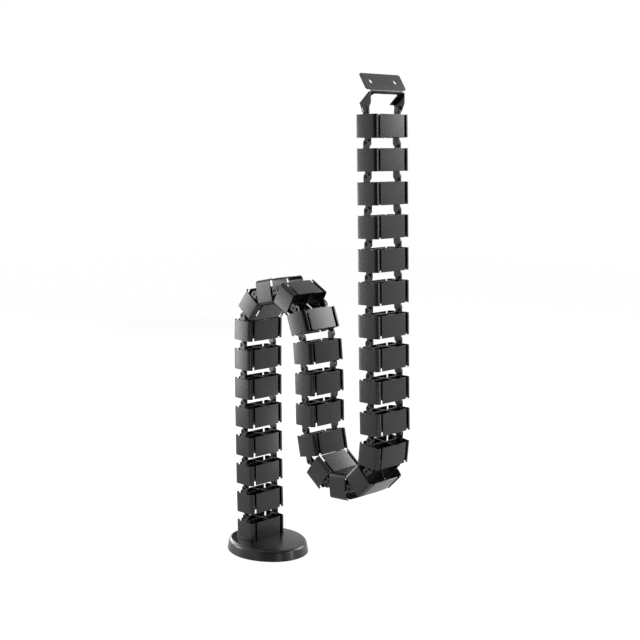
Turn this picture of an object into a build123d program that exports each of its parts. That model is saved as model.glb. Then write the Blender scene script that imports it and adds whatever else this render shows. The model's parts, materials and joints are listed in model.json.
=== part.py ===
from build123d import *

import math
import os

# Vertebra moulding, one size for the whole spine
PITCH = 42.0
LINK_WIDTH = 65.2
LINK_DEPTH = 35.4
LINK_HEIGHT = 28.7
LINK_CORNER = 4.4
LINK_WALL = 1.6
CORE_WALL = 1.6
SLOT_WIDTH = 3.6
SLOT_INSET = 8.0
CORNER_FACETS = 3

# Hinge ears of a vertebra: outer pair on top, inner pair below
EAR_WIDTH = 9.6
EAR_THICKNESS = 2.6
EAR_INSET = 1.8
EAR_REACH = 4.7
EAR_CHAMFER = 2.4
EAR_SIDE_GAP = 0.25
STUD_RADIUS = 2.5
STUD_LENGTH = 1.9
STUD_CLEARANCE = 0.1
STUD_FACETS = 8

# Rest pose: the bend in degrees at each hinge, from the foot to the top, plus towards +X.
# A tight bend stops short of the rims meeting by the slack angles.
COLUMN_X = -15.0
LEFT_ANGLES = [-1.5, 0.8, 0.2, -0.3, 0.8, 0.3, 1.1]
TOP_SLACK_ANGLES = [4.4, 0.7, 0.5, 0.4]
TOP_EXIT_ANGLE = 14.4
MIDDLE_ANGLES = [3.5, 0.7, -10.6]
BOTTOM_SLACK_ANGLES = [0.4, 0.4, 0.4, 1.4]
BOTTOM_EXIT_ANGLE = -7.9
RIGHT_LEAN_ANGLE = 0.6
RIGHT_COUNT = 9

# Oval foot: half sizes on the floor along X and Y, and the lean of its wall in degrees
FOOT_HALF_X = 64.4
FOOT_HALF_Y = 55.0
WALL_TAPER = 10.6
SHOULDER_HEIGHT = 15.7
SHOULDER_ROUND = 2.4
SHOULDER_FACETS = 2
DOME_HEIGHT = 18.0
DOME_RADIUS = 700.0
COVER_SKIN = 2.5
SEAT_DEPTH = 2.5
SEAT_CLEARANCE = 0.15
COVER_LIFT = 0.4
PAD_THICKNESS = 1.5
INNER_CLEARANCE = 0.3

# Screws in the foot
BASE_SCREW_INSET_X = 26.4
BASE_SCREW_INSET_Y = 29.0
SCREW_RADIUS = 2.0
SCREW_HEAD_RADIUS = 3.8
SCREW_HEAD_HEIGHT = 2.2
SCREW_CLEARANCE = 0.3
SCREW_FACETS = 8
BOSS_WALL = 1.6
BOSS_FLOOR = 1.5
SPINE_SCREW_BITE = 12.0

# Desk bracket: bent sheet steel
SHEET = 1.5
PLATE_WIDTH = 75.0
PLATE_DEPTH = 23.2
PLATE_CORNER = 3.0
PLATE_ANGLE = 57.6
NECK_WIDTH = 60.0
NECK_LENGTH = 3.1
BEND_X = 9.6
BEND_Z = 21.4
BEND_RADIUS = 1.0
DESK_HOLE_SPACING = 45.4
DESK_HOLE_RADIUS = 2.8
WEB_LENGTH = 23.5
WEB_LIP = 4.6
WEB_TURN = 100.0
WEB_OPENING = 48.6
OPENING_ROUND = 5.0
SIDE_GAP = 0.2
SIDE_KNUCKLE = 5.4
SIDE_FRONT_Z = 7.5

# Rivets that join the bracket to the top vertebra
RIVET_HEAD_RADIUS = 4.2
RIVET_HEAD_HEIGHT = 1.1
RIVET_END_RADIUS = 3.6
RIVET_END_HEIGHT = 0.8
RIVET_END_GAP = 0.1
RIVET_FACETS = 12

# Worked-out places
link_gap = PITCH - LINK_HEIGHT
bend_stop = 2 * math.degrees(math.atan(link_gap / LINK_DEPTH))
half_width = LINK_WIDTH / 2
half_depth = LINK_DEPTH / 2
half_height = LINK_HEIGHT / 2
hinge_reach = PITCH / 2
outer_ear_face = half_width - EAR_INSET
outer_ear_back = outer_ear_face - EAR_THICKNESS
inner_ear_face = outer_ear_back - EAR_SIDE_GAP
inner_ear_back = inner_ear_face - EAR_THICKNESS
root_width = half_width - LINK_WALL - inner_ear_back
root_middle = inner_ear_back + root_width / 2
slot_middle = half_width - SLOT_INSET
seat_floor = DOME_HEIGHT - SEAT_DEPTH
base_link_z = seat_floor + half_height
weight_top = seat_floor - COVER_SKIN
sink_top = PAD_THICKNESS + SCREW_HEAD_HEIGHT
boss_bottom = sink_top + BOSS_FLOOR
side_face = outer_ear_face + SIDE_GAP
plate_up = 180 - PLATE_ANGLE
web_down = plate_up + WEB_TURN
bracket_bend = (BEND_X, BEND_Z)


def faceted_box(half_x, half_y, radius):
    """Rectangle whose corners are rounded by a few flat facets."""
    points = []
    for quarter, (sign_x, sign_y) in enumerate([(1, 1), (-1, 1), (-1, -1), (1, -1)]):
        for step in range(CORNER_FACETS + 1):
            angle = math.radians(90 * (quarter + step / CORNER_FACETS))
            x = sign_x * (half_x - radius) + radius * math.cos(angle)
            y = sign_y * (half_y - radius) + radius * math.sin(angle)
            points.append((x, y))
    return make_face(Polyline(*points, close=True))


def link_section():
    """Section of a vertebra: two end caps and two panels on a crossed core, with four slots."""
    outer = faceted_box(half_depth, half_width, LINK_CORNER)
    inner = Rectangle(LINK_DEPTH - 2 * LINK_WALL, LINK_WIDTH - 2 * LINK_WALL)
    core = Rectangle(CORE_WALL, LINK_WIDTH - LINK_WALL)
    core += Rectangle(LINK_DEPTH - LINK_WALL, CORE_WALL)
    section = outer - inner + core
    for side in (1, -1):
        section += Pos(0, side * root_middle) * Rectangle(EAR_WIDTH, root_width)
        for face in (1, -1):
            slot = Rectangle(2 * LINK_WALL, SLOT_WIDTH)
            section -= Pos(face * half_depth, side * slot_middle) * slot
    return section


def upright(face, low, high):
    """Solid with an outline in the bending plane, between two places along Y."""
    return Pos(0, high, 0) * extrude(Plane.XZ * face, amount=high - low)


def mirrored_pair(face, low, high):
    """The same solid on both sides of the bending plane."""
    return upright(face, low, high) + upright(face, -high, -low)


def ears(direction, back, face):
    """Pair of ears that reach past one hinge axis, up or down, with chamfered ends."""
    tip = hinge_reach + EAR_REACH
    half = EAR_WIDTH / 2
    outline = [
        (-half, half_height),
        (half, half_height),
        (half, tip - EAR_CHAMFER),
        (half - EAR_CHAMFER, tip),
        (EAR_CHAMFER - half, tip),
        (-half, tip - EAR_CHAMFER),
    ]
    points = [(x, direction * z) for x, z in outline]
    return mirrored_pair(make_face(Polyline(*points, close=True)), back, face)


def hinge_bars(radius, direction, low, high):
    """Pair of faceted round bars on the upper or lower hinge axis."""
    section = Pos(0, direction * hinge_reach) * RegularPolygon(radius, STUD_FACETS)
    return mirrored_pair(section, low, high)


def link_body():
    """Body of a vertebra without its ears, centred on its own middle."""
    return Pos(0, 0, -half_height) * extrude(link_section(), amount=LINK_HEIGHT)


def upper_ears():
    """Outer ears on top of a vertebra, with the holes that the next studs turn in."""
    hole_radius = (STUD_RADIUS + STUD_CLEARANCE) / math.cos(math.pi / STUD_FACETS)
    holes = hinge_bars(hole_radius, 1, outer_ear_back - EAR_SIDE_GAP, outer_ear_face + EAR_SIDE_GAP)
    return ears(1, outer_ear_back, outer_ear_face) - holes


def lower_ears():
    """Inner ears under a vertebra, with a moulded stud on the outer face of each."""
    pins = hinge_bars(STUD_RADIUS, -1, inner_ear_back, inner_ear_face + EAR_SIDE_GAP + STUD_LENGTH)
    return ears(-1, inner_ear_back, inner_ear_face) + pins


def rest_bends():
    """Bend at each hinge below a vertebra, from the foot to the top."""
    top = [bend_stop - slack for slack in TOP_SLACK_ANGLES] + [TOP_EXIT_ANGLE]
    bottom = [slack - bend_stop for slack in BOTTOM_SLACK_ANGLES] + [BOTTOM_EXIT_ANGLE]
    right = [RIGHT_LEAN_ANGLE] + [0.0] * (RIGHT_COUNT - 1)
    return LEFT_ANGLES + top + MIDDLE_ANGLES + bottom + right


def spine_places():
    """Centre and lean of each hinged vertebra, and the top hinge, walked up the chain."""
    x = COLUMN_X
    z = base_link_z
    lean = 0.0
    places = []
    for bend in rest_bends():
        x += hinge_reach * math.sin(math.radians(lean))
        z += hinge_reach * math.cos(math.radians(lean))
        lean += bend
        x += hinge_reach * math.sin(math.radians(lean))
        z += hinge_reach * math.cos(math.radians(lean))
        places.append((x, z, lean))
    top_x = x + hinge_reach * math.sin(math.radians(lean))
    top_z = z + hinge_reach * math.cos(math.radians(lean))
    return places, (top_x, top_z)


def oval_face(inset):
    """Four-centre oval of the foot, set in by a distance: end and side arcs that meet smoothly."""
    end_radius = FOOT_HALF_Y**2 / FOOT_HALF_X
    side_radius = FOOT_HALF_X * (FOOT_HALF_X + FOOT_HALF_Y) / (2 * FOOT_HALF_Y)
    end_centre = FOOT_HALF_X - end_radius
    turn = math.atan2(side_radius - FOOT_HALF_Y, end_centre)
    meet_x = end_centre + (end_radius - inset) * math.cos(turn)
    meet_y = (end_radius - inset) * math.sin(turn)
    tip_x = FOOT_HALF_X - inset
    tip_y = FOOT_HALF_Y - inset
    outline = [
        ThreePointArc((meet_x, -meet_y), (tip_x, 0), (meet_x, meet_y)),
        ThreePointArc((meet_x, meet_y), (0, tip_y), (-meet_x, meet_y)),
        ThreePointArc((-meet_x, meet_y), (-tip_x, 0), (-meet_x, -meet_y)),
        ThreePointArc((-meet_x, -meet_y), (0, -tip_y), (meet_x, -meet_y)),
    ]
    return make_face(outline)


def oval_layer(inset, low, high, taper=0):
    """Oval slice of the foot with an upright or leaning wall, set in at its lower face."""
    return Pos(0, 0, low) * extrude(oval_face(inset), amount=high - low, taper=taper)


def inside_wall(skin, low, high):
    """Slice of the foot's form, one skin inside its leaning wall."""
    lean = math.tan(math.radians(WALL_TAPER))
    return oval_layer(skin + low * lean, low, high, WALL_TAPER)


def foot_form():
    """Outer form of the foot: leaning wall, shoulder rounded by facets and low dome."""
    bend = 90 - WALL_TAPER
    lean = math.tan(math.radians(WALL_TAPER))
    facet = bend / (SHOULDER_FACETS + 1)
    edge = 2 * SHOULDER_ROUND * math.sin(math.radians(facet / 2))
    rise = sum(
        edge * math.cos(math.radians(WALL_TAPER + facet * (step + 0.5)))
        for step in range(SHOULDER_FACETS)
    )
    low = SHOULDER_HEIGHT - rise
    form = inside_wall(0, 0, low)
    inset = low * lean
    for step in range(SHOULDER_FACETS):
        taper = WALL_TAPER + facet * (step + 0.5)
        last = step == SHOULDER_FACETS - 1
        high = DOME_HEIGHT if last else low + edge * math.cos(math.radians(taper))
        form += oval_layer(inset, low, high, taper)
        inset += (high - low) * math.tan(math.radians(taper))
        low = high
    dome = Pos(0, 0, DOME_HEIGHT - DOME_RADIUS) * Rot(90, 0, 0) * Sphere(DOME_RADIUS)
    return form & dome


def base_screw_places():
    """Places of the four screws round the foot."""
    x = FOOT_HALF_X - BASE_SCREW_INSET_X
    y = FOOT_HALF_Y - BASE_SCREW_INSET_Y
    return [(-x, -y), (-x, y), (x, -y), (x, y)]


def spine_screw_places():
    """Places of the two screws under the ear roots of the first vertebra."""
    return [(COLUMN_X, -root_middle), (COLUMN_X, root_middle)]


def rods(places, radius, low, high):
    """Upright faceted rods at a set of places."""
    section = Sketch() + [Pos(x, y) * RegularPolygon(radius, SCREW_FACETS) for x, y in places]
    return Pos(0, 0, low) * extrude(section, amount=high - low)


def screws(places, top):
    """Screws from below, with their heads sunk in the underside of the weight."""
    return rods(places, SCREW_HEAD_RADIUS, PAD_THICKNESS, sink_top) + rods(
        places, SCREW_RADIUS, PAD_THICKNESS, top
    )


def seat():
    """Pocket in the dome that the first vertebra stands in."""
    outline = faceted_box(
        half_depth + SEAT_CLEARANCE, half_width + SEAT_CLEARANCE, LINK_CORNER + SEAT_CLEARANCE
    )
    return Pos(COLUMN_X, 0, seat_floor) * extrude(outline, amount=DOME_HEIGHT)


def base_cover():
    """Moulded oval shell with a rounded shoulder, a domed top, a seat and four screw bosses."""
    cover = foot_form() - inside_wall(COVER_SKIN, 0, weight_top)
    cover += rods(base_screw_places(), SCREW_RADIUS + BOSS_WALL, boss_bottom, seat_floor)
    cover -= rods(base_screw_places(), SCREW_RADIUS, 0, weight_top)
    cover -= rods(spine_screw_places(), SCREW_RADIUS + SCREW_CLEARANCE, 0, DOME_HEIGHT)
    below = Box(3 * FOOT_HALF_X, 3 * FOOT_HALF_X, 2 * COVER_LIFT)
    return cover - seat() - below


def base_weight():
    """Oval steel slab with clearance for the bosses and sunk holes for all six screws."""
    places = base_screw_places() + spine_screw_places()
    edge_inset = COVER_SKIN + weight_top * math.tan(math.radians(WALL_TAPER)) + INNER_CLEARANCE
    slab = oval_layer(edge_inset, PAD_THICKNESS, weight_top)
    slab -= rods(places, SCREW_RADIUS + SCREW_CLEARANCE, 0, DOME_HEIGHT)
    boss_room = SCREW_RADIUS + BOSS_WALL + SCREW_CLEARANCE
    slab -= rods(base_screw_places(), boss_room, boss_bottom, DOME_HEIGHT)
    return slab - rods(places, SCREW_HEAD_RADIUS + SCREW_CLEARANCE, 0, sink_top)


def base_pad():
    """Rubber sheet that the foot stands on, set inside the cover's lower edge."""
    return inside_wall(COVER_SKIN + INNER_CLEARANCE, 0, PAD_THICKNESS)


def base_link():
    """First vertebra: the same body with upper ears, screwed down through its ear roots."""
    link = Pos(COLUMN_X, 0, base_link_z) * (link_body() + upper_ears())
    return link - rods(spine_screw_places(), SCREW_RADIUS, 0, seat_floor + SPINE_SCREW_BITE)


def along(start, angle, distance):
    """Point at a distance from a start, at an angle from +X towards +Z."""
    turn = math.radians(angle)
    return (start[0] + distance * math.cos(turn), start[1] + distance * math.sin(turn))


def strip(start, angle, length, right, left):
    """Straight strip in the bending plane, with its two edges right and left of a line."""
    end = along(start, angle, length)
    points = [along(start, angle + 90, -right), along(end, angle + 90, -right)]
    points += [along(end, angle + 90, left), along(start, angle + 90, left)]
    return make_face(Polyline(*points, close=True))


def screw_plate():
    """Rounded plate with two holes that is screwed to the desk."""
    middle = along(bracket_bend, plate_up, NECK_LENGTH + PLATE_DEPTH / 2)
    outline = RectangleRounded(PLATE_DEPTH, PLATE_WIDTH, PLATE_CORNER)
    for side in (1, -1):
        outline -= Pos(0, side * DESK_HOLE_SPACING / 2) * Circle(DESK_HOLE_RADIUS)
    return Pos(middle[0], 0, middle[1]) * Rot(0, PLATE_ANGLE, 0) * extrude(outline, amount=-SHEET)


def web_window():
    """Window between the legs, with round corners under a lip of the web, as a cutting block."""
    middle = along(bracket_bend, web_down, WEB_LIP + WEB_LENGTH)
    outline = RectangleRounded(2 * WEB_LENGTH, WEB_OPENING, OPENING_ROUND)
    block = extrude(outline, amount=2 * SHEET, both=True)
    return Pos(middle[0], 0, middle[1]) * Rot(0, -web_down, 0) * block


def folded_web():
    """Neck of the plate and the web below it, bent round one corner and open in the middle."""
    neck = strip(bracket_bend, plate_up, 2 * NECK_LENGTH, 0, SHEET)
    web = strip(bracket_bend, web_down, WEB_LENGTH, SHEET, 0)
    inner_turn = (plate_up + web_down) / 2
    inner = along(bracket_bend, inner_turn, SHEET / math.sin(math.radians(WEB_TURN / 2)))
    corner = [
        bracket_bend,
        along(bracket_bend, plate_up + 90, SHEET),
        inner,
        along(bracket_bend, web_down - 90, SHEET),
    ]
    profile = neck + web + make_face(Polyline(*corner, close=True))
    nearest = profile.vertices().sort_by_distance((*bracket_bend, 0))
    profile = fillet(nearest[0], BEND_RADIUS + SHEET)
    fold = upright(profile, -side_face - SHEET, side_face + SHEET)
    beside_neck = strip(bracket_bend, plate_up, 3 * NECK_LENGTH, SHEET, 2 * SHEET)
    return fold - web_window() - mirrored_pair(beside_neck, NECK_WIDTH / 2, PLATE_WIDTH)


def side_plates():
    """Pair of plates folded forward from the web, rounded about the hinge."""
    reach = math.hypot(BEND_X, SIDE_FRONT_Z)
    turn = math.atan2(SIDE_FRONT_Z, BEND_X) - math.acos(SIDE_KNUCKLE / reach)
    outline = [
        bracket_bend,
        along(bracket_bend, web_down, WEB_LENGTH),
        (-SIDE_KNUCKLE, 0),
        (SIDE_KNUCKLE * math.cos(turn), SIDE_KNUCKLE * math.sin(turn)),
        (BEND_X, SIDE_FRONT_Z),
    ]
    profile = make_face(Polyline(*outline, close=True)) + Circle(SIDE_KNUCKLE)
    return mirrored_pair(profile - Circle(STUD_RADIUS), side_face, side_face + SHEET)


def desk_bracket():
    """Bent sheet bracket about its hinge: screw plate, open web and two side plates."""
    return screw_plate() + folded_web() + side_plates()


def bracket_rivets():
    """Pair of rivets through the bracket's side plates and the top vertebra's ears."""
    end_face = outer_ear_back - RIVET_END_GAP
    outer = side_face + SHEET
    head = RegularPolygon(RIVET_HEAD_RADIUS, RIVET_FACETS)
    end = RegularPolygon(RIVET_END_RADIUS, RIVET_FACETS)
    return (
        mirrored_pair(Circle(STUD_RADIUS), end_face, outer)
        + mirrored_pair(head, outer, outer + RIVET_HEAD_HEIGHT)
        + mirrored_pair(end, end_face - RIVET_END_HEIGHT, end_face)
    )


def main():
    """Writes every piece of the spine in its place."""
    places, (top_x, top_z) = spine_places()
    link = link_body() + upper_ears() + lower_ears()
    pieces = {
        "base_pad": base_pad(),
        "base_weight": base_weight(),
        "base_cover": base_cover(),
        "base_screws": screws(base_screw_places(), weight_top),
        "spine_screws": screws(spine_screw_places(), seat_floor + SPINE_SCREW_BITE),
        "base_link": base_link(),
        "desk_bracket": Pos(top_x, 0, top_z) * desk_bracket(),
        "bracket_rivets": Pos(top_x, 0, top_z) * bracket_rivets(),
    }
    for number, (x, z, lean) in enumerate(places, start=1):
        pieces[f"link_{number:02d}"] = Pos(x, 0, z) * Rot(0, lean, 0) * link
    os.makedirs("parts", exist_ok=True)
    for name, piece in pieces.items():
        export_step(piece, f"parts/{name}.step")


main()
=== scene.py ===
import json
import math

import bmesh
import bpy
from mathutils import Matrix, Vector


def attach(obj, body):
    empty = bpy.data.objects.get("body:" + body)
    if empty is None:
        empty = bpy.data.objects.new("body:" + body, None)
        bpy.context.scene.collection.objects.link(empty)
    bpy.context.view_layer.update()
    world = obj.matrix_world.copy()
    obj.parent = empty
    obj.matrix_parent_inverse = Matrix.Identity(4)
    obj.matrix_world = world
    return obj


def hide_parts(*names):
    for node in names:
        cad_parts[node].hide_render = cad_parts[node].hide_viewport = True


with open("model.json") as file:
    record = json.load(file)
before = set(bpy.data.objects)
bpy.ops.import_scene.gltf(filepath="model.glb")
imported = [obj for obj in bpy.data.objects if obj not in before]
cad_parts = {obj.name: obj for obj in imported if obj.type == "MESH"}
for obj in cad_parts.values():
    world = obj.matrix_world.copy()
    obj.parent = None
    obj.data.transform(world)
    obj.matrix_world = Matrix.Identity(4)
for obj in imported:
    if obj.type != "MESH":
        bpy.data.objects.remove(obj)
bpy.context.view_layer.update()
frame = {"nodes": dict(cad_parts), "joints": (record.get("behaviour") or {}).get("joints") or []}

# Vertebra in metres, its corners and faces a little rounder than in the solids
MM = 0.001
PITCH = 42.0 * MM
WIDTH = 65.2 * MM
DEPTH = 35.4 * MM
HEIGHT = 28.7 * MM
CORNER = 5.2 * MM
WALL = 1.6 * MM
CORE = 1.6 * MM
SLOT_WIDTH = 3.6 * MM
SLOT_INSET = 8.0 * MM
EDGE = 0.3 * MM
PANEL_CROWN = 0.55 * MM
CAP_CROWN = 0.35 * MM
LIP_FALL = 0.45 * MM

# Hinge ears and studs
EAR_WIDTH = 9.6 * MM
EAR_THICKNESS = 2.6 * MM
EAR_INSET = 1.8 * MM
EAR_REACH = 4.7 * MM
EAR_SIDE_GAP = 0.25 * MM
ROOT_SPARE = 0.3 * MM
STUD_RADIUS = 2.5 * MM
STUD_LENGTH = 1.9 * MM
STUD_HOLLOW_RADIUS = 1.3 * MM
HOLE_RADIUS = 2.6 * MM

# Foot, its shoulder and seat gap a little larger than in the solids
FOOT_X = 64.4 * MM
FOOT_Y = 55.0 * MM
WALL_TAPER = 10.6
SHOULDER_ROUND = 5.5 * MM
SHOULDER_END = 85.0
RIM_INSET = 7.0 * MM
DOME_Z = 18.0 * MM
DOME_RADIUS = 700.0 * MM
COVER_LIFT = 0.4 * MM
COVER_SKIN = 2.5 * MM
SEAT_DEPTH = 2.5 * MM
SEAT_CLEARANCE = 0.5 * MM

# Bracket
SHEET = 1.5 * MM
SHEET_EDGE = 0.2 * MM
PLATE_WIDTH = 75.0 * MM
PLATE_DEPTH = 23.2 * MM
PLATE_CORNER = 3.0 * MM
PLATE_ANGLE = 57.6
NECK_WIDTH = 60.0 * MM
NECK_LENGTH = 3.1 * MM
BEND_X = 9.6 * MM
BEND_Z = 21.4 * MM
BEND_RADIUS = 1.0 * MM
DESK_HOLE_SPACING = 45.4 * MM
DESK_HOLE_RADIUS = 2.8 * MM
WEB_LENGTH = 23.5 * MM
WEB_LIP = 4.6 * MM
WEB_TURN = 100.0
WEB_OPENING = 48.6 * MM
WINDOW_ROUND = 5.0 * MM
CUT_BELOW = 6.0 * MM
CUT_ABOVE = 3.0 * MM
SIDE_GAP = 0.2 * MM
SIDE_KNUCKLE = 5.4 * MM
SIDE_FRONT_Z = 7.5 * MM

# Rivets
RIVET_HEAD_RADIUS = 4.2 * MM
RIVET_HEAD_HEIGHT = 1.1 * MM
RIVET_END_RADIUS = 3.6 * MM
RIVET_END_HEIGHT = 0.8 * MM
RIVET_END_GAP = 0.1 * MM
RIVET_DIMPLE_RADIUS = 1.7 * MM
RIVET_DIMPLE_DEPTH = 0.8 * MM

# Steps along curves, and the angles from which an edge is rounded or stays crisp
CROWN_STEPS = 6
LIP_STEPS = 4
ARC_STEPS = 8
ROUND_STEPS = 40
END_STEPS = 40
SIDE_STEPS = 40
SHOULDER_STEPS = 8
DOME_STEPS = 14
RIVET_DOME_STEPS = 6
BEVEL_SEGMENTS = 2
BEVEL_ANGLE = 35.0
CRISP_ANGLE = 35.0
COVER_CRISP_ANGLE = 30.0

# Finishes: two greys, two gloss levels, grains per metre, grain height, metal and specular level
BLACK = (0.006, 0.008)
SATIN = (0.26, 0.29)
SATIN_HEIGHT = 0.004 * MM
SATIN_SPECULAR = 0.36
PLAIN_SPECULAR = 0.5
DARK_GREY = (0.015, 0.025)
FINISHES = {
    "moulded_black": (BLACK, SATIN, 2600, SATIN_HEIGHT, 0.0, SATIN_SPECULAR),
    "cover_black": (BLACK, SATIN, 2200, SATIN_HEIGHT, 0.0, SATIN_SPECULAR),
    "powder_black": (BLACK, SATIN, 1800, SATIN_HEIGHT, 0.0, SATIN_SPECULAR),
    "rivet_black": (DARK_GREY, (0.3, 0.4), 1500, 0.02 * MM, 0.0, PLAIN_SPECULAR),
    "rubber": (DARK_GREY, (0.7, 0.9), 1500, 0.08 * MM, 0.0, PLAIN_SPECULAR),
    "cut_steel": ((0.32, 0.42), (0.3, 0.55), 900, 0.03 * MM, 1.0, PLAIN_SPECULAR),
    "zinc": ((0.45, 0.55), (0.25, 0.4), 1200, 0.02 * MM, 1.0, PLAIN_SPECULAR),
}
HIDDEN_FINISHES = {
    "base_pad": "rubber",
    "base_weight": "cut_steel",
    "spine_screws": "zinc",
    "base_screws": "zinc",
}
GRAIN_DETAIL = 3
MOTTLE_DETAIL = 4
MOTTLE_COARSENESS = 40
GLOSS_RANGE = (0.3, 0.7)
TINT_RANGE = (0.35, 0.65)

# Camera, angles in degrees
CAMERA_LENS = 66.14
CAMERA_SENSOR = 36.0
CAMERA_PLACE = (1.2150, -1.1210, 0.5796)
CAMERA_TURN = (81.65, 0, 44.66)

# Floor and surroundings: levels as light, and where the white background is seen or mirrored
WHITE = (1, 1, 1, 1)
FLOOR_SIZE = 8
FLOOR_GREY = (0.6, 0.8)
FLOOR_GLOW_SHARE = (0.0, 0.85)
FLOOR_GLOW = 1.1
SURROUNDINGS = (0.5, 1.0)

# Black boards: place, width and height
FLAG_TURN = 45.0
FLAG_BLACK = (0.01, 0.01, 0.01, 1)
FLAGS = {
    "flag_behind_camera": ((1.55, -1.45, 1.2), 3.2, 2.4),
    "flag_behind_spine": ((-1.78, 1.30, 0.85), 0.5, 1.7),
}

# Softboxes: place, target, width, height and watts
SOFTBOXES = {
    "back_right": ((0.66, 1.45, 1.06), (0.15, 0, 0.4), 1.3, 0.74, 33),
    "low_right": ((0.70, 1.42, 0.38), (0.15, 0, 0.3), 1.2, 0.6, 1),
    "left_panel": ((-1.03, -0.70, 0.36), (0.0, 0, 0.3), 0.4, 0.72, 9.5),
    "left_back": ((-1.38, 0.12, 0.48), (0.0, 0, 0.02), 1.1, 0.7, 16),
    "near_right": ((0.24, 0.44, 0.05), (0.0, 0.02, 0.08), 0.25, 0.10, 0.28),
    "front_low": ((0.62, -0.36, 0.10), (0.0, -0.03, 0.15), 0.10, 0.15, 0.25),
    "front_right": ((1.60, 0.40, 0.5), (0.24, -0.03, 0.4), 0.15, 1.0, 8.0),
}

half_depth = DEPTH / 2
half_width = WIDTH / 2
half_height = HEIGHT / 2
hinge_reach = PITCH / 2
outer_ear_face = half_width - EAR_INSET
outer_ear_back = outer_ear_face - EAR_THICKNESS
inner_ear_face = outer_ear_back - EAR_SIDE_GAP
inner_ear_back = inner_ear_face - EAR_THICKNESS
slot_inner = half_width - SLOT_INSET - SLOT_WIDTH / 2
slot_outer = half_width - SLOT_INSET + SLOT_WIDTH / 2
side_face = outer_ear_face + SIDE_GAP
wall_lean = math.tan(math.radians(WALL_TAPER))
bend = (BEND_X, BEND_Z)
plate_up = 180 - PLATE_ANGLE
web_down = plate_up + WEB_TURN


# Mesh helpers


def arc(centre_u, centre_v, radius, start, end, steps):
    """Points along an arc, angles in degrees."""
    points = []
    for step in range(steps + 1):
        angle = math.radians(start + (end - start) * step / steps)
        points.append((centre_u + radius * math.cos(angle), centre_v + radius * math.sin(angle)))
    return points


def rounded_rectangle(half_u, half_v, radius):
    """Outline of a rectangle with round corners."""
    points = []
    for quarter, (side_u, side_v) in enumerate([(1, 1), (-1, 1), (-1, -1), (1, -1)]):
        centre = (side_u * (half_u - radius), side_v * (half_v - radius))
        points += arc(*centre, radius, 90 * quarter, 90 * quarter + 90, ARC_STEPS)
    return points


def join_rings(bm, first, second):
    """Faces between two rings of points; a ring of one point closes them to a tip."""
    count = max(len(first), len(second))
    for i in range(count):
        j = (i + 1) % count
        corners = [
            first[i % len(first)],
            first[j % len(first)],
            second[j % len(second)],
            second[i % len(second)],
        ]
        unique = list(dict.fromkeys(corners))
        if len(unique) > 2:
            bm.faces.new(unique)


def closed_mesh(bm, name):
    """Mesh of the built faces, all turned outwards."""
    bmesh.ops.recalc_face_normals(bm, faces=bm.faces)
    mesh = bpy.data.meshes.new(name)
    bm.to_mesh(mesh)
    bm.free()
    return mesh


def prism(outline, low, high, axis):
    """Mesh of an outline swept along one axis: the outline is in the other two, in order."""
    places = {
        "Z": lambda u, v, w: (u, v, w),
        "Y": lambda u, v, w: (u, w, v),
    }
    place = places[axis]
    bm = bmesh.new()
    bottom = [bm.verts.new(place(u, v, low)) for u, v in outline]
    top = [bm.verts.new(place(u, v, high)) for u, v in outline]
    bm.faces.new(bottom)
    bm.faces.new(top)
    join_rings(bm, bottom, top)
    return closed_mesh(bm, "prism")


def turned(profile):
    """Closed mesh turned about +Z from a profile of (radius, height) that starts and ends on it."""
    bm = bmesh.new()
    rings = []
    for radius, height in profile:
        if radius == 0:
            rings.append([bm.verts.new((0, 0, height))])
            continue
        ring = []
        for step in range(ROUND_STEPS):
            angle = 2 * math.pi * step / ROUND_STEPS
            ring.append(bm.verts.new((radius * math.cos(angle), radius * math.sin(angle), height)))
        rings.append(ring)
    for first, second in zip(rings, rings[1:]):
        join_rings(bm, first, second)
    return closed_mesh(bm, "turned")


def rod(radius, low, high):
    """Round bar along +Z."""
    return turned([(0, low), (radius, low), (radius, high), (0, high)])


def moved(mesh, matrix):
    """The same mesh after a move."""
    mesh.transform(matrix)
    if matrix.determinant() < 0:
        mesh.flip_normals()
    return mesh


def laid(mesh, point, angle):
    """The same mesh turned about +Y by an angle in degrees and put at a point (x, z)."""
    turn = Matrix.Rotation(math.radians(angle), 4, "Y")
    return moved(mesh, Matrix.Translation((point[0], 0, point[1])) @ turn)


def with_modifier(mesh, kind, **settings):
    """Mesh after one modifier."""
    holder = bpy.data.objects.new("holder", mesh)
    bpy.context.scene.collection.objects.link(holder)
    modifier = holder.modifiers.new(kind, kind)
    for name, value in settings.items():
        setattr(modifier, name, value)
    graph = bpy.context.evaluated_depsgraph_get()
    result = bpy.data.meshes.new_from_object(holder.evaluated_get(graph))
    bpy.data.objects.remove(holder)
    return result


def bevelled(mesh, width):
    """Mesh with its sharp edges rounded."""
    return with_modifier(
        mesh, "BEVEL", width=width, segments=BEVEL_SEGMENTS, limit_method="ANGLE",
        angle_limit=math.radians(BEVEL_ANGLE), miter_outer="MITER_ARC",
    )


def combined(mesh, other, operation):
    """Mesh united with another, or cut by it."""
    tool = bpy.data.objects.new("tool", other)
    bpy.context.scene.collection.objects.link(tool)
    result = with_modifier(mesh, "BOOLEAN", object=tool, operation=operation, solver="EXACT")
    bpy.data.objects.remove(tool)
    return result


def smooth(mesh, angle=CRISP_ANGLE):
    """Smooth shading that keeps real edges crisp."""
    mesh.shade_smooth()
    mesh.set_sharp_from_angle(angle=math.radians(angle))
    return with_modifier(mesh, "WEIGHTED_NORMAL", keep_sharp=True)


def piece(name, mesh, material, body, nodes, place=Matrix.Identity(4)):
    """Visible piece that stands for CAD nodes and rides on their body."""
    mesh.materials.clear()
    mesh.materials.append(material)
    made = bpy.data.objects.new(name, mesh)
    bpy.context.scene.collection.objects.link(made)
    made.matrix_world = place
    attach(made, body)
    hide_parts(*nodes)
    return made


# Vertebra


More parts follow.
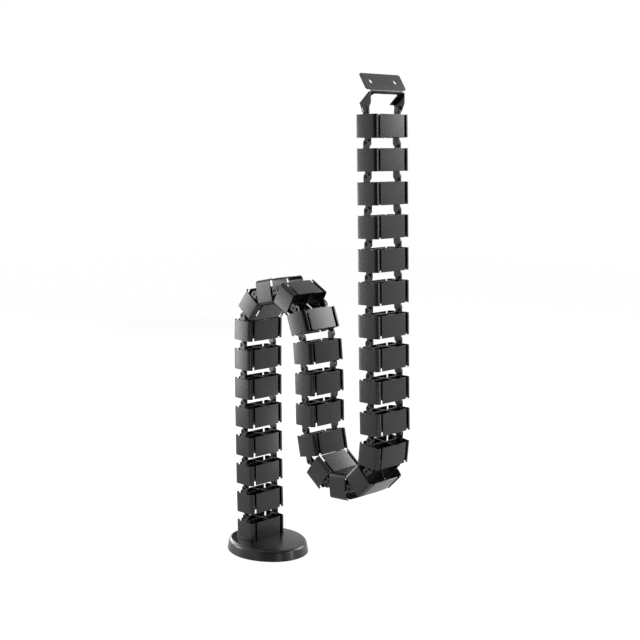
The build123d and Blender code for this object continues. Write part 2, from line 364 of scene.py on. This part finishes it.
def quarter_outline():
    """One quarter of a vertebra's section, from the middle of a panel to the middle of a cap."""
    root = EAR_WIDTH / 2 + ROOT_SPARE
    points = []
    for step in range(CROWN_STEPS + 1):
        share = step / CROWN_STEPS
        points.append((half_depth - PANEL_CROWN * share**2, slot_inner * share))
    points += [
        (half_depth - WALL, slot_inner),
        (half_depth - WALL, CORE / 2),
        (CORE / 2, CORE / 2),
        (CORE / 2, inner_ear_back - ROOT_SPARE),
        (root, inner_ear_back - ROOT_SPARE),
        (root, half_width - WALL),
    ]
    points += arc(half_depth - CORNER, half_width - CORNER, CORNER - WALL, 90, 0, ARC_STEPS // 2)
    points.append((half_depth - WALL, slot_outer))
    corner_y = half_width - CAP_CROWN - CORNER
    lip_width = corner_y - slot_outer
    for step in range(LIP_STEPS):
        share = step / LIP_STEPS
        points.append((half_depth - LIP_FALL * (1 - share) ** 2, slot_outer + lip_width * share))
    points += arc(half_depth - CORNER, corner_y, CORNER, 0, 90, ARC_STEPS)
    for step in range(1, CROWN_STEPS + 1):
        share = 1 - step / CROWN_STEPS
        points.append(((half_depth - CORNER) * share, half_width - CAP_CROWN * share**2))
    return points


def link_outline():
    """Whole section, mirrored from one quarter."""
    quarter = quarter_outline()
    outline = list(quarter)
    outline += [(-x, y) for x, y in reversed(quarter[:-1])]
    outline += [(-x, -y) for x, y in quarter[1:]]
    outline += [(x, -y) for x, y in reversed(quarter[1:-1])]
    return outline


def span(side, near, far):
    """Low and high end of a stretch across one side."""
    return sorted((side * near, side * far))


def ear_outline(direction):
    """Ear with a round end about its hinge, up or down."""
    half = EAR_WIDTH / 2
    round_end = arc(0, 0, half, 0, 180, 2 * ARC_STEPS)
    points = [(u, hinge_reach + v * EAR_REACH / half) for u, v in round_end]
    points += [(-half, half_height - WALL), (half, half_height - WALL)]
    return [(u, direction * v) for u, v in points]


def across(side, distance, height):
    """Place on a hinge axis, with +Z turned to point outwards on one side."""
    return Matrix.Translation((0, side * distance, height)) @ Matrix.Rotation(-side * math.pi / 2, 4, "X")


def outer_ear(side):
    """Upper ear with the hole that the next vertebra's stud turns in."""
    blade = prism(ear_outline(1), *span(side, outer_ear_back, outer_ear_face), "Y")
    bore = rod(HOLE_RADIUS, -EAR_THICKNESS, 2 * EAR_THICKNESS)
    bore = moved(bore, across(side, outer_ear_back, hinge_reach))
    return bevelled(combined(blade, bore, "DIFFERENCE"), EDGE)


def inner_ear(side):
    """Lower ear with its hollow stud."""
    blade = prism(ear_outline(-1), *span(side, inner_ear_back, inner_ear_face), "Y")
    floor = -EAR_THICKNESS / 2
    tip = EAR_SIDE_GAP + STUD_LENGTH
    profile = [
        (0, floor),
        (STUD_RADIUS, floor),
        (STUD_RADIUS, tip - EDGE),
        (STUD_RADIUS - EDGE, tip),
        (STUD_HOLLOW_RADIUS, tip),
        (STUD_HOLLOW_RADIUS, EAR_SIDE_GAP),
        (0, EAR_SIDE_GAP),
    ]
    stud = moved(turned(profile), across(side, inner_ear_face, -hinge_reach))
    return combined(bevelled(blade, EDGE), stud, "UNION")


def link_mesh(with_lower_ears):
    """Whole vertebra about its own middle."""
    mesh = bevelled(prism(link_outline(), -half_height, half_height, "Z"), EDGE)
    for side in (1, -1):
        mesh = combined(mesh, outer_ear(side), "UNION")
        if with_lower_ears:
            mesh = combined(mesh, inner_ear(side), "UNION")
    return smooth(mesh)


def hinge_point(name):
    """Where a hinge is at rest."""
    return Vector(next(joint["pos_m"] for joint in frame["joints"] if joint["name"] == name))


def link_names():
    """Hinged vertebrae from the foot up."""
    return sorted(node for node in frame["nodes"] if node.startswith("link_"))


def add_links(material):
    """Every vertebra in its place, each between its two hinges."""
    names = link_names()
    hinges = [hinge_point(name.replace("link", "joint")) for name in names]
    hinges.append(hinge_point("bracket_hinge"))
    full = link_mesh(True)
    for number, name in enumerate(names):
        below = hinges[number]
        above = hinges[number + 1]
        lean = math.atan2(above.x - below.x, above.z - below.z)
        place = Matrix.Translation((above + below) / 2) @ Matrix.Rotation(lean, 4, "Y")
        piece(f"{name}_moulding", full, material, name, [name], place)
    first = Matrix.Translation(hinges[0] - Vector((0, 0, hinge_reach)))
    piece("base_link_moulding", link_mesh(False), material, "base", ["base_link"], first)


# Foot


def oval_points(inset):
    """Points round the foot's four-centre oval, set in by a distance."""
    end_radius = FOOT_Y**2 / FOOT_X
    side_radius = FOOT_X * (FOOT_X + FOOT_Y) / (2 * FOOT_Y)
    end_centre = FOOT_X - end_radius
    side_centre = side_radius - FOOT_Y
    turn = math.degrees(math.atan2(side_centre, end_centre))
    points = arc(end_centre, 0, end_radius - inset, -turn, turn, END_STEPS)[:-1]
    points += arc(0, -side_centre, side_radius - inset, turn, 180 - turn, SIDE_STEPS)[:-1]
    return points + [(-x, -y) for x, y in points]


def dome_height(x, y):
    """Height of the low dome over the foot."""
    return DOME_Z - (x * x + y * y) / (2 * DOME_RADIUS)


def flat_ring(inset, height):
    """Level ring of the foot's oval."""
    return [(x, y, height) for x, y in oval_points(inset)]


def shoulder_ring(angle):
    """Ring of the rounded shoulder at a slope angle: it rises and falls with the dome's rim."""
    turn = math.radians(angle)
    top = math.radians(SHOULDER_END)
    lean = math.radians(WALL_TAPER)
    ring = []
    for place, rim in enumerate(oval_points(RIM_INSET)):
        centre_z = dome_height(*rim) - SHOULDER_ROUND * math.sin(top)
        wall_z = centre_z + SHOULDER_ROUND * math.sin(lean)
        inset = wall_z * wall_lean + SHOULDER_ROUND * (math.cos(lean) - math.cos(turn))
        x, y = oval_points(inset)[place]
        ring.append((x, y, centre_z + SHOULDER_ROUND * math.sin(turn)))
    return ring


def cover_rings():
    """Rings of the cover from the ceiling inside, round the lip and up to the dome's middle."""
    ceiling = DOME_Z - SEAT_DEPTH - COVER_SKIN
    lip = COVER_LIFT + EDGE
    rings = [
        flat_ring(COVER_SKIN + ceiling * wall_lean, ceiling),
        flat_ring(COVER_SKIN + COVER_LIFT * wall_lean, COVER_LIFT),
        flat_ring(lip * wall_lean + EDGE, COVER_LIFT),
        flat_ring(lip * wall_lean, lip),
    ]
    for step in range(SHOULDER_STEPS + 1):
        rings.append(shoulder_ring(WALL_TAPER + (SHOULDER_END - WALL_TAPER) * step / SHOULDER_STEPS))
    rim = rings[-1]
    for step in range(1, DOME_STEPS):
        share = 1 - step / DOME_STEPS
        rings.append([(x * share, y * share, dome_height(x * share, y * share)) for x, y, _ in rim])
    return rings


def cover_mesh():
    """Oval shell with a rounded shoulder, a low dome and a hollow underside."""
    bm = bmesh.new()
    loops = [[bm.verts.new(point) for point in ring] for ring in cover_rings()]
    for first, second in zip(loops, loops[1:]):
        join_rings(bm, first, second)
    bm.faces.new(loops[0])
    bm.faces.new(loops[-1])
    return closed_mesh(bm, "cover")


def add_foot(material):
    """Cover with the seat of the first vertebra cut into it."""
    column = hinge_point("joint_01")
    outline = rounded_rectangle(
        half_depth + SEAT_CLEARANCE, half_width + SEAT_CLEARANCE, CORNER + SEAT_CLEARANCE
    )
    seat = prism(outline, DOME_Z - SEAT_DEPTH, 2 * DOME_Z, "Z")
    seat = moved(seat, Matrix.Translation((column.x, 0, 0)))
    mesh = smooth(combined(cover_mesh(), seat, "DIFFERENCE"), COVER_CRISP_ANGLE)
    piece("cover_shell", mesh, material, "base", ["base_cover"])


# Bracket


def along(start, angle, distance):
    """Point at a distance from a start, at an angle from +X towards +Z in degrees."""
    turn = math.radians(angle)
    return (start[0] + distance * math.cos(turn), start[1] + distance * math.sin(turn))


def screw_plate():
    """Rounded plate with its two holes."""
    plate = prism(rounded_rectangle(PLATE_DEPTH / 2, PLATE_WIDTH / 2, PLATE_CORNER), -SHEET, 0, "Z")
    for side in (1, -1):
        bore = rod(DESK_HOLE_RADIUS, -2 * SHEET, SHEET)
        bore = moved(bore, Matrix.Translation((0, side * DESK_HOLE_SPACING / 2, 0)))
        plate = combined(plate, bore, "DIFFERENCE")
    middle = along(bend, plate_up, NECK_LENGTH + PLATE_DEPTH / 2)
    return laid(bevelled(plate, SHEET_EDGE), middle, PLATE_ANGLE)


def bent_strip(low, high):
    """Neck and web bent round one corner, between two places along Y."""
    inner_turn = (plate_up + web_down) / 2
    outer_radius = BEND_RADIUS + SHEET
    centre = along(bend, inner_turn, outer_radius / math.sin(math.radians(WEB_TURN / 2)))
    neck_end = along(bend, plate_up, 2 * NECK_LENGTH)
    web_end = along(bend, web_down, WEB_LENGTH)
    points = [neck_end]
    points += arc(*centre, outer_radius, plate_up - 90, web_down - 270, ARC_STEPS)
    points += [web_end, along(web_end, web_down - 90, SHEET)]
    points += arc(*centre, BEND_RADIUS, web_down - 270, plate_up - 90, ARC_STEPS)
    points.append(along(neck_end, plate_up + 90, SHEET))
    return prism(points, low, high, "Y")


def side_plate(side):
    """Plate folded forward from the web, round about the hinge."""
    reach = math.hypot(BEND_X, SIDE_FRONT_Z)
    turn = math.atan2(SIDE_FRONT_Z, BEND_X) - math.acos(SIDE_KNUCKLE / reach)
    outline = [bend, along(bend, web_down, WEB_LENGTH)]
    outline += arc(0, 0, SIDE_KNUCKLE, 180, 360 + math.degrees(turn), 2 * ARC_STEPS)
    outline.append((BEND_X, SIDE_FRONT_Z))
    return prism(outline, *span(side, side_face, side_face + SHEET), "Y")


def window():
    """Opening between the legs, with round corners under a lip of the web, as a cutting block."""
    outline = rounded_rectangle(WEB_LENGTH, WEB_OPENING / 2, WINDOW_ROUND)
    block = prism(outline, -CUT_BELOW, CUT_BELOW, "Z")
    return laid(block, along(bend, web_down, WEB_LIP + WEB_LENGTH), -web_down)


def beside_neck(side):
    """Block that narrows the fold to the neck above the bend."""
    low, high = span(side, NECK_WIDTH / 2, PLATE_WIDTH)
    half = WEB_LENGTH / 2
    block = prism([(-half, low), (half, low), (half, high), (-half, high)], -CUT_BELOW, CUT_ABOVE, "Z")
    return laid(block, along(bend, plate_up, half), -plate_up)


def add_bracket(material):
    """Bent sheet bracket at the top hinge."""
    edge = side_face + SHEET
    fold = combined(bent_strip(-edge, edge), window(), "DIFFERENCE")
    for side in (1, -1):
        fold = combined(fold, beside_neck(side), "DIFFERENCE")
    mesh = combined(bevelled(fold, SHEET_EDGE), screw_plate(), "UNION")
    for side in (1, -1):
        mesh = combined(mesh, bevelled(side_plate(side), SHEET_EDGE), "UNION")
    place = Matrix.Translation(hinge_point("bracket_hinge"))
    piece("bracket_sheet", smooth(mesh), material, "desk_bracket", ["desk_bracket"], place)


def rivet_profile():
    """Rivet from its flared end, inside the ear, to its domed head with a dimple."""
    outer = SHEET + SIDE_GAP + EAR_THICKNESS
    end = -RIVET_END_GAP
    profile = [
        (0, end - RIVET_END_HEIGHT),
        (RIVET_END_RADIUS, end - RIVET_END_HEIGHT),
        (RIVET_END_RADIUS, end),
        (STUD_RADIUS, end),
        (STUD_RADIUS, outer),
        (RIVET_HEAD_RADIUS, outer),
    ]
    for step in range(1, RIVET_DOME_STEPS + 1):
        angle = math.pi / 2 * step / ARC_STEPS
        profile.append((RIVET_HEAD_RADIUS * math.cos(angle), outer + RIVET_HEAD_HEIGHT * math.sin(angle)))
    floor = outer + RIVET_HEAD_HEIGHT - RIVET_DIMPLE_DEPTH
    profile += [(RIVET_DIMPLE_RADIUS, floor), (0, floor)]
    return profile


def add_rivets(material):
    """Two rivets that hold the bracket to the top vertebra's ears."""
    pair = bmesh.new()
    for side in (1, -1):
        pair.from_mesh(moved(turned(rivet_profile()), across(side, outer_ear_back, 0)))
    mesh = closed_mesh(pair, "rivets")
    place = Matrix.Translation(hinge_point("bracket_hinge"))
    piece("rivet_pair", smooth(mesh), material, "desk_bracket", ["bracket_rivets"], place)


# Materials


def new_material(name):
    """Empty material and its shader."""
    material = bpy.data.materials.new(name)
    material.use_nodes = True
    return material, material.node_tree.nodes["Principled BSDF"]


def set_inputs(node, values):
    """Gives a node's sockets their values."""
    for socket, value in values.items():
        node.inputs[socket].default_value = value


def noise(tree, scale, detail):
    """Noise through the piece's own space."""
    place = tree.nodes.new("ShaderNodeTexCoord")
    pattern = tree.nodes.new("ShaderNodeTexNoise")
    set_inputs(pattern, {"Scale": scale, "Detail": detail})
    tree.links.new(place.outputs["Object"], pattern.inputs["Vector"])
    return pattern.outputs["Fac"]


def between(tree, value, source, target):
    """Value carried over from one range to another."""
    carried = tree.nodes.new("ShaderNodeMapRange")
    set_inputs(carried, {"From Min": source[0], "From Max": source[1]})
    set_inputs(carried, {"To Min": target[0], "To Max": target[1]})
    tree.links.new(value, carried.inputs["Value"])
    return carried.outputs["Result"]


def finish(name, shades, gloss, grains, height, metallic, specular):
    """Procedural finish: fine grain, uneven gloss and a faint mottling between two greys."""
    material, shader = new_material(name)
    tree = material.node_tree
    set_inputs(shader, {"Metallic": metallic, "Specular IOR Level": specular})
    bump = tree.nodes.new("ShaderNodeBump")
    set_inputs(bump, {"Distance": height})
    tree.links.new(noise(tree, grains, GRAIN_DETAIL), bump.inputs["Height"])
    tree.links.new(bump.outputs["Normal"], shader.inputs["Normal"])
    mottle = noise(tree, grains / MOTTLE_COARSENESS, MOTTLE_DETAIL)
    tree.links.new(between(tree, mottle, GLOSS_RANGE, gloss), shader.inputs["Roughness"])
    tint = tree.nodes.new("ShaderNodeValToRGB")
    for element, position, shade in zip(tint.color_ramp.elements, TINT_RANGE, shades):
        element.position = position
        element.color = (shade, shade, shade, 1)
    tree.links.new(mottle, tint.inputs["Fac"])
    tree.links.new(tint.outputs["Color"], shader.inputs["Base Color"])
    return material


def dress_hidden_nodes(finishes):
    """Finishes for the pieces under the foot, whose solids are shown as they are."""
    for node, name in HIDDEN_FINISHES.items():
        shown = frame["nodes"][node]
        shown.data.materials.clear()
        shown.data.materials.append(finishes[name])


# Studio


def by_ray(tree, levels):
    """Level that is one number as light and another where the white background is seen or mirrored."""
    path = tree.nodes.new("ShaderNodeLightPath")
    shown = path.outputs["Is Camera Ray"]
    for kind in ("Is Glossy Ray", "Is Transmission Ray"):
        either = tree.nodes.new("ShaderNodeMath")
        either.operation = "MAXIMUM"
        tree.links.new(shown, either.inputs[0])
        tree.links.new(path.outputs[kind], either.inputs[1])
        shown = either.outputs[0]
    return between(tree, shown, (0, 1), levels)


def stage_floor():
    """Pale floor that is plain white to the camera except where the object shades it."""
    bpy.ops.mesh.primitive_plane_add(size=FLOOR_SIZE)
    floor = bpy.context.object
    floor.name = "studio_floor"
    material = bpy.data.materials.new("floor_white")
    material.use_nodes = True
    tree = material.node_tree
    tree.nodes.clear()
    output = tree.nodes.new("ShaderNodeOutputMaterial")
    mix = tree.nodes.new("ShaderNodeMixShader")
    diffuse = tree.nodes.new("ShaderNodeBsdfDiffuse")
    glow = tree.nodes.new("ShaderNodeEmission")
    set_inputs(glow, {"Color": WHITE, "Strength": FLOOR_GLOW})
    tree.links.new(by_ray(tree, FLOOR_GREY), diffuse.inputs["Color"])
    tree.links.new(by_ray(tree, FLOOR_GLOW_SHARE), mix.inputs["Fac"])
    tree.links.new(diffuse.outputs["BSDF"], mix.inputs[1])
    tree.links.new(glow.outputs["Emission"], mix.inputs[2])
    tree.links.new(mix.outputs["Shader"], output.inputs["Surface"])
    floor.data.materials.append(material)


def dark_flag(name, place, width, height):
    """Black board that keeps the faces that mirror it dark; the camera doesn't see it."""
    bpy.ops.mesh.primitive_plane_add(size=1)
    board = bpy.context.object
    board.name = name
    board.scale = (width, height, 1)
    board.location = place
    board.rotation_euler = (math.pi / 2, 0, math.radians(FLAG_TURN))
    material, shader = new_material(f"{name}_black")
    set_inputs(shader, {"Base Color": FLAG_BLACK, "Roughness": 1.0, "Specular IOR Level": 0.0})
    board.data.materials.append(material)
    board.visible_camera = False


def studio_world():
    """White round the object for the camera, and a plain lower level as light."""
    world = bpy.data.worlds.new("studio")
    bpy.context.scene.world = world
    world.use_nodes = True
    tree = world.node_tree
    tree.nodes.clear()
    output = tree.nodes.new("ShaderNodeOutputWorld")
    background = tree.nodes.new("ShaderNodeBackground")
    set_inputs(background, {"Color": WHITE})
    tree.links.new(by_ray(tree, SURROUNDINGS), background.inputs["Strength"])
    tree.links.new(background.outputs["Background"], output.inputs["Surface"])


def soft_light(name, place, target, width, height, watts):
    """Softbox aimed at a point, not seen by the camera."""
    lamp = bpy.data.lights.new(name, "AREA")
    lamp.shape = "RECTANGLE"
    lamp.size = width
    lamp.size_y = height
    lamp.energy = watts
    holder = bpy.data.objects.new(name, lamp)
    bpy.context.scene.collection.objects.link(holder)
    holder.location = place
    aim = Vector(target) - Vector(place)
    holder.rotation_euler = aim.to_track_quat("-Z", "Y").to_euler()
    holder.visible_camera = False


def add_camera():
    """Camera at the photograph's place, height and angle."""
    data = bpy.data.cameras.new("camera")
    data.lens = CAMERA_LENS
    data.sensor_width = CAMERA_SENSOR
    holder = bpy.data.objects.new("camera", data)
    bpy.context.scene.collection.objects.link(holder)
    holder.location = CAMERA_PLACE
    holder.rotation_euler = [math.radians(angle) for angle in CAMERA_TURN]
    bpy.context.scene.camera = holder


def main():
    """Builds the spine's looks and the studio round it."""
    finishes = {name: finish(name, *values) for name, values in FINISHES.items()}
    add_camera()
    add_links(finishes["moulded_black"])
    add_foot(finishes["cover_black"])
    add_bracket(finishes["powder_black"])
    add_rivets(finishes["rivet_black"])
    dress_hidden_nodes(finishes)
    stage_floor()
    for name, board in FLAGS.items():
        dark_flag(name, *board)
    studio_world()
    for name, box in SOFTBOXES.items():
        soft_light(name, *box)
    bpy.context.scene.view_settings.view_transform = "Standard"


main()
